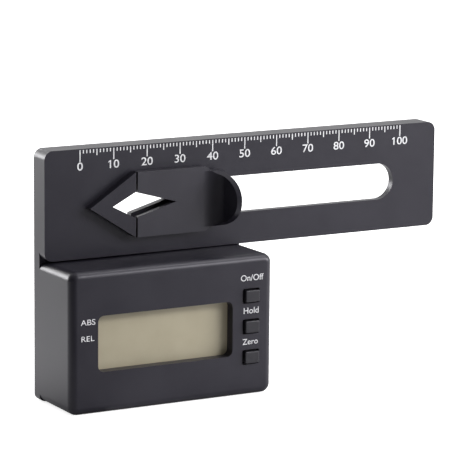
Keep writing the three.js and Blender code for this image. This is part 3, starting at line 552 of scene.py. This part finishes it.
# Print
def printed(text, name, centre, baseline, front, height, width=None, boldness=0.0):
    """Text as a thin layer of ink on a face that looks to the front."""
    font = bpy.data.curves.new(name, "FONT")
    font.body = text
    font.align_x = "CENTER"
    font.extrude = LETTER_DEPTH
    font.offset = boldness
    font.resolution_u = LETTER_CURVE_STEPS
    lettering = new_object(name, font)
    bpy.context.view_layer.update()
    mesh = bmesh.new()
    mesh.from_mesh(lettering.evaluated_get(bpy.context.evaluated_depsgraph_get()).to_mesh())
    bpy.data.objects.remove(lettering)
    xs = [vert.co.x for vert in mesh.verts]
    ys = [vert.co.y for vert in mesh.verts]
    zs = [vert.co.z for vert in mesh.verts]
    tall = height / max(ys)
    wide = width / (max(xs) - min(xs)) if width else tall * NUMERAL_STRETCH
    centred = Matrix.Translation((-(min(xs) + max(xs)) / 2, 0, 0))
    size = Matrix.Diagonal((wide, tall, PRINT_THICKNESS / max(zs), 1))
    upright = Matrix.Rotation(pi / 2, 4, "X")
    place = Matrix.Translation((centre, front, baseline))
    bmesh.ops.transform(mesh, matrix=place @ upright @ size @ centred, verts=mesh.verts)
    return mesh


def add_flag_to_one(mesh):
    """Gives a numeral that starts with a plain upright stroke the flag of a 1."""
    left = min(vert.co.x for vert in mesh.verts)
    top = max(vert.co.z for vert in mesh.verts)
    x = left - ONE_FLAG_REACH + cos(ONE_FLAG_ANGLE) * ONE_FLAG_LENGTH / 2
    place = Matrix.Translation((x, arm_front, top - ONE_FLAG_DROP))
    turn = Matrix.Rotation(-ONE_FLAG_ANGLE, 4, "Y")
    size = Matrix.Diagonal((ONE_FLAG_LENGTH, ONE_FLAG_THICKNESS * 2, ONE_FLAG_WIDTH, 1))
    bmesh.ops.create_cube(mesh, size=1, matrix=place @ turn @ size)
    bmesh.ops.translate(mesh, verts=mesh.verts, vec=(ONE_FLAG_REACH / 2, 0, 0))


def ruler_x(millimetre):
    return arm_low[0] + RULER_ZERO_INSET + millimetre * MM


def ruler_ticks():
    """A tick every millimetre, longer at the fives and longest at the tens."""
    mesh = bmesh.new()
    top = arm_high[2] - TICK_TOP_DROP
    for millimetre in range(RULER_LENGTH_MM + 1):
        length = next(TICK_LENGTHS[step] for step in TICK_LENGTHS if millimetre % step == 0)
        place = Matrix.Translation((ruler_x(millimetre), arm_front, top - length / 2))
        size = Matrix.Diagonal((TICK_WIDTH, PRINT_THICKNESS * 2, length, 1))
        bmesh.ops.create_cube(mesh, size=1, matrix=place @ size)
    piece_from(mesh, "ruler_ticks", "gauge", ink)


def ruler_numerals():
    whole = bmesh.new()
    baseline = arm_high[2] - NUMERAL_DROP - NUMERAL_HEIGHT
    for millimetre in range(0, RULER_LENGTH_MM + 1, NUMERAL_STEP_MM):
        text = str(millimetre)
        numeral = printed(
            text,
            "numeral",
            ruler_x(millimetre),
            baseline,
            arm_front,
            NUMERAL_HEIGHT,
            boldness=NUMERAL_BOLDNESS,
        )
        if text.startswith("1"):
            add_flag_to_one(numeral)
        data = mesh_data(numeral, "numeral")
        whole.from_mesh(data)
        bpy.data.meshes.remove(data)
    piece_from(whole, "ruler_numerals", "gauge", ink)


def case_words():
    for name, (text, inset, drop, height, width) in WORDS.items():
        centre = case_low[0] + inset
        baseline = case_high[2] - drop
        mesh = printed(text, name, centre, baseline, case_low[1], height, width)
        piece_from(mesh, name, "gauge", ink)


# Screws
def recessed_screw(node, name, body):
    """A copy of a CAD screw whose head has a cross recess."""
    mesh = merged_copy(node)
    low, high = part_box(node)
    x = (low[0] + high[0]) / 2
    z = (low[2] + high[2]) / 2
    head_radius = (high[0] - low[0]) / 2
    reach = head_radius * RECESS_SHARE_OF_HEAD
    half = RECESS_WIDTH / 2
    for offset in (-reach, -half, half, reach):
        for point, normal in (((x + offset, 0, z), (1, 0, 0)), ((x, 0, z + offset), (0, 0, 1))):
            everything = mesh.verts[:] + mesh.edges[:] + mesh.faces[:]
            bmesh.ops.bisect_plane(mesh, geom=everything, plane_co=point, plane_no=normal)
    recess = []
    for face in mesh.faces:
        centre = face.calc_center_median()
        across, along = abs(centre.x - x), abs(centre.z - z)
        in_cross = min(across, along) < half and max(across, along) < reach
        if in_cross and face.normal.y > FACES_BACK:
            recess.append(face)
    made = bmesh.ops.extrude_face_region(mesh, geom=recess)
    bmesh.ops.delete(mesh, geom=recess, context="FACES")
    sunk = only(bmesh.types.BMVert, made["geom"])
    bmesh.ops.translate(mesh, verts=sunk, vec=(0, -RECESS_DEPTH, 0))
    piece_from(mesh, name, body, steel, node)


# Clamp spring
def turned(mesh, section, centre, axis, angle, steps, advance=(0, 0, 0)):
    """Sweeps a ring of edges round an axis and returns the ring it ends in."""
    made = bmesh.ops.spin(
        mesh,
        geom=section,
        cent=centre,
        axis=axis,
        dvec=advance,
        angle=angle,
        steps=steps,
        use_merge=False,
        use_duplicate=False,
    )
    return only(bmesh.types.BMEdge, made["geom_last"])


def pushed(mesh, section, way):
    """Sweeps a ring of edges straight on and returns the ring it ends in."""
    made = bmesh.ops.extrude_edge_only(mesh, edges=section)["geom"]
    verts = only(bmesh.types.BMVert, made)
    bmesh.ops.translate(mesh, verts=verts, vec=way)
    edges = only(bmesh.types.BMEdge, made)
    return [edge for edge in edges if all(vert in verts for vert in edge.verts)]


def clamp_spring():
    """Curls wound by a screw motion, with a neck and an open hook at each end."""
    low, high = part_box("clamp_spring")
    hook_reach = SPRING_RADIUS + SPRING_WIRE / 2
    anchor_x = low[0] + hook_reach
    ear_x = high[0] - hook_reach
    y = (low[1] + high[1]) / 2
    z = (low[2] + high[2]) / 2
    top = z + SPRING_RADIUS
    start = anchor_x + SPRING_NECK
    wound = ear_x - SPRING_NECK - start
    curls = int(wound / SPRING_PITCH)
    pitch = wound / curls
    end = start + curls * pitch
    mesh = bmesh.new()
    bmesh.ops.create_circle(
        mesh,
        segments=SPRING_SIDES,
        radius=SPRING_WIRE / 2,
        matrix=Matrix.Translation((start, y, top)) @ Matrix.Rotation(pi / 2, 4, "X"),
    )
    first = mesh.edges[:]
    steps = curls * SPRING_STEPS_PER_CURL
    advance = (curls * pitch / steps, 0, 0)
    last = turned(mesh, first, (start, y, z), (1, 0, 0), curls * 2 * pi, steps, advance)
    tail = SPRING_HOOK_TURN - pi
    for section, x, side, hook_x in ((first, start, -1, anchor_x), (last, end, 1, ear_x)):
        bend = (x + side * SPRING_NECK_BEND, y, top)
        bent = turned(mesh, section, bend, (0, 0, 1), pi / 2, SPRING_BEND_STEPS)
        straight = pushed(mesh, bent, (hook_x - x - side * SPRING_NECK_BEND, 0, 0))
        hooked = turned(
            mesh, straight, (hook_x, y, z), (0, side, 0), SPRING_HOOK_TURN, SPRING_HOOK_STEPS
        )
        pushed(mesh, hooked, (-side * SPRING_WIRE * sin(tail), 0, SPRING_WIRE * cos(tail)))
    bmesh.ops.holes_fill(mesh, edges=[edge for edge in mesh.edges if edge.is_boundary], sides=0)
    bmesh.ops.remove_doubles(mesh, verts=mesh.verts, dist=WELD_REACH)
    bmesh.ops.recalc_face_normals(mesh, faces=mesh.faces)
    piece = piece_from(mesh, "spring_wire", None, wire, "clamp_spring")
    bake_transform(piece)


# Studio
def camera():
    forward = Vector((
        sin(CAMERA_YAW) * cos(CAMERA_PITCH),
        cos(CAMERA_YAW) * cos(CAMERA_PITCH),
        -sin(CAMERA_PITCH),
    ))
    right = Vector((cos(CAMERA_YAW), -sin(CAMERA_YAW), 0))
    up = right.cross(forward)
    turned_right = cos(CAMERA_ROLL) * right + sin(CAMERA_ROLL) * up
    turned_up = cos(CAMERA_ROLL) * up - sin(CAMERA_ROLL) * right
    data = bpy.data.cameras.new("camera")
    data.sensor_fit = "HORIZONTAL"
    data.sensor_width = CAMERA_SENSOR_WIDTH
    data.lens = CAMERA_LENS
    data.clip_start = CAMERA_NEAREST
    data.clip_end = CAMERA_FARTHEST
    viewer = new_object("camera", data)
    turn = Matrix((turned_right, turned_up, -forward)).transposed().to_4x4()
    viewer.matrix_world = Matrix.Translation(CAMERA_PLACE) @ turn
    bpy.context.scene.camera = viewer


def soft_lamp(name, place, width, height, power):
    data = bpy.data.lights.new(name, "AREA")
    data.shape = "RECTANGLE"
    data.size = width
    data.size_y = height
    data.energy = power
    lamp = new_object(name, data)
    lamp.location = place
    lamp.rotation_euler = (LAMP_TARGET - Vector(place)).to_track_quat("-Z", "Y").to_euler()


def brightness_by_side(tree, direction):
    """The studio's level in a direction from the gauge: low on its dim side and 1 elsewhere."""
    unit = vector_math(tree, "NORMALIZE", direction).outputs["Vector"]
    nearness = vector_math(tree, "DOT_PRODUCT", unit, DIM_SIDE).outputs["Value"]
    spread = add_node(tree, "ShaderNodeMapRange", {"Value": nearness, "From Min": -1.0})
    ramp = add_node(tree, "ShaderNodeValToRGB", {"Fac": spread.outputs["Result"]})
    ramp.color_ramp.interpolation = "EASE"
    stops = ramp.color_ramp.elements
    while len(stops) < len(LEVELS_BY_ANGLE):
        stops.new(0.5)
    for stop, (angle, level) in zip(stops, reversed(LEVELS_BY_ANGLE)):
        stop.position = (cos(angle) + 1) / 2
        stop.color = (level, level, level, 1)
    return ramp.outputs["Color"]


def floor_finish():
    """Plain white to the camera. The light that it throws back is painted into its colour and
    glow: dimmer on the studio's dim side, brighter at a painted patch of light, and darker close
    to the gauge with painted shade."""
    material = bpy.data.materials.new("white_floor")
    material.use_nodes = True
    tree = material.node_tree
    seen = tree.nodes["Principled BSDF"]
    feed(tree, seen, {
        "Base Color": (0.9, 0.9, 0.9, 1),
        "Roughness": 0.8,
        "Specular IOR Level": 0.2,
        "Emission Color": WHITE,
        "Emission Strength": FLOOR_GLOW,
    })
    place = add_node(tree, "ShaderNodeTexCoord").outputs["Object"]
    from_centre = vector_math(tree, "SUBTRACT", place, DIM_CENTRE).outputs["Vector"]
    # A painted patch of light on the floor, seen only in reflections and bounced light
    painted_light_patch = add_node(tree, "ShaderNodeMapRange", {
        "Value": vector_math(tree, "DISTANCE", place, PAINTED_LIGHT_PATCH_CENTRE).outputs["Value"],
        "From Max": PAINTED_LIGHT_PATCH_REACH,
        "To Min": PAINTED_LIGHT_PATCH_LIFT,
        "To Max": 0.0,
    }, interpolation_type="SMOOTHSTEP")
    # Painted shade on the floor's dim side
    level = brightness_by_side(tree, from_centre)
    lifted = vector_math(tree, "ADD", level, painted_light_patch.outputs["Result"]).outputs["Vector"]
    # Painted shade close to the gauge, from the occlusion
    contact = {"Color": lifted, "Distance": CONTACT_REACH}
    shaded = add_node(tree, "ShaderNodeAmbientOcclusion", contact).outputs["Color"]
    dimmed = add_node(
        tree, "ShaderNodeVectorMath", {0: shaded, "Scale": FLOOR_ALBEDO}, operation="SCALE"
    )
    # Painted light: to other rays the floor glows, standing in for bounced light
    thrown_back = add_node(tree, "ShaderNodeBsdfPrincipled", {
        "Base Color": dimmed.outputs["Vector"],
        "Roughness": 1.0,
        "Specular IOR Level": 0.0,
        "Emission Color": shaded,
        "Emission Strength": FLOOR_BOUNCE,
    })
    to_camera = add_node(tree, "ShaderNodeLightPath").outputs["Is Camera Ray"]
    surface = mixed(tree, to_camera, thrown_back, seen)
    feed(tree, tree.nodes["Material Output"], {"Surface": surface.outputs["Shader"]})
    return material


def floor():
    mesh = bmesh.new()
    bmesh.ops.create_grid(mesh, x_segments=1, y_segments=1, size=FLOOR_HALF_SIZE)
    bmesh.ops.translate(mesh, verts=mesh.verts, vec=(0, 0, -FLOOR_DROP))
    ground = new_object("floor", mesh_data(mesh, "floor"))
    ground.data.materials.append(floor_finish())


def white_surround():
    """A plain white backdrop for the camera and through glass. Reflections show its dim side
    too, and so does the light that falls on the gauge, at a lower level."""
    world = bpy.data.worlds.new("white_surround")
    bpy.context.scene.world = world
    world.use_nodes = True
    tree = world.node_tree
    seen = tree.nodes["Background"]
    feed(tree, seen, {"Color": WHITE, "Strength": 1.0})
    direction = add_node(tree, "ShaderNodeTexCoord").outputs["Generated"]
    level = brightness_by_side(tree, direction)
    reflected = add_node(tree, "ShaderNodeBackground", {"Color": level, "Strength": 1.0})
    diffuse = add_node(tree, "ShaderNodeBackground", {"Color": level, "Strength": SURROUND_LEVEL})
    path = add_node(tree, "ShaderNodeLightPath").outputs
    lit = mixed(tree, path["Is Glossy Ray"], diffuse, reflected)
    rays = {0: path["Is Camera Ray"], 1: path["Is Transmission Ray"]}
    seen_plainly = add_node(tree, "ShaderNodeMath", rays, operation="MAXIMUM").outputs["Value"]
    surface = mixed(tree, seen_plainly, lit, seen)
    feed(tree, tree.nodes["World Output"], {"Surface": surface.outputs["Shader"]})


bpy.context.scene.view_settings.view_transform = "Standard"
camera()
white_surround()
floor()
for name, lamp in LAMPS.items():
    soft_lamp(name, *lamp)

arm()
case()
jaw()
softened_node("slider_back_plate", "back_plate_moulding", "slider", EDGE_RADIUS)
softened_node("battery_door", "door_moulding", "door", SMALL_EDGE_RADIUS)
stem_plastic = grey_moulding()
switch_metal = tinned_cover()
for word in ("on_off", "hold", "zero"):
    button(word)
    dress(f"{word}_switch_stem", stem_plastic)
    dress(f"{word}_switch_body", switch_metal)
ruler_ticks()
ruler_numerals()
case_words()
clamp_spring()
for number in (1, 2, 3, 4):
    recessed_screw(f"case_screw_{number}", f"case_screw_head_{number}", "gauge")
    recessed_screw(f"board_screw_{number}", f"board_screw_head_{number}", "gauge")
for number in (1, 2):
    recessed_screw(f"slider_screw_{number}", f"slider_screw_head_{number}", "slider")

dress("lcd_panel", display_glass())
dress("lcd_frame", white_moulding())
dress("circuit_board", solder_mask())
rubber = striped_rubber()
compound = chip_compound()
sleeve = cell_sleeve()
for end in ("upper", "lower"):
    dress(f"connector_strip_{end}", rubber)
    dress(f"cell_{end}", sleeve)
for chip in ("controller_chip", "tilt_sensor_chip"):
    dress(chip, compound)
for contact in ("contact_minus", "contact_plus", "contact_bridge"):
    dress(contact, wire)
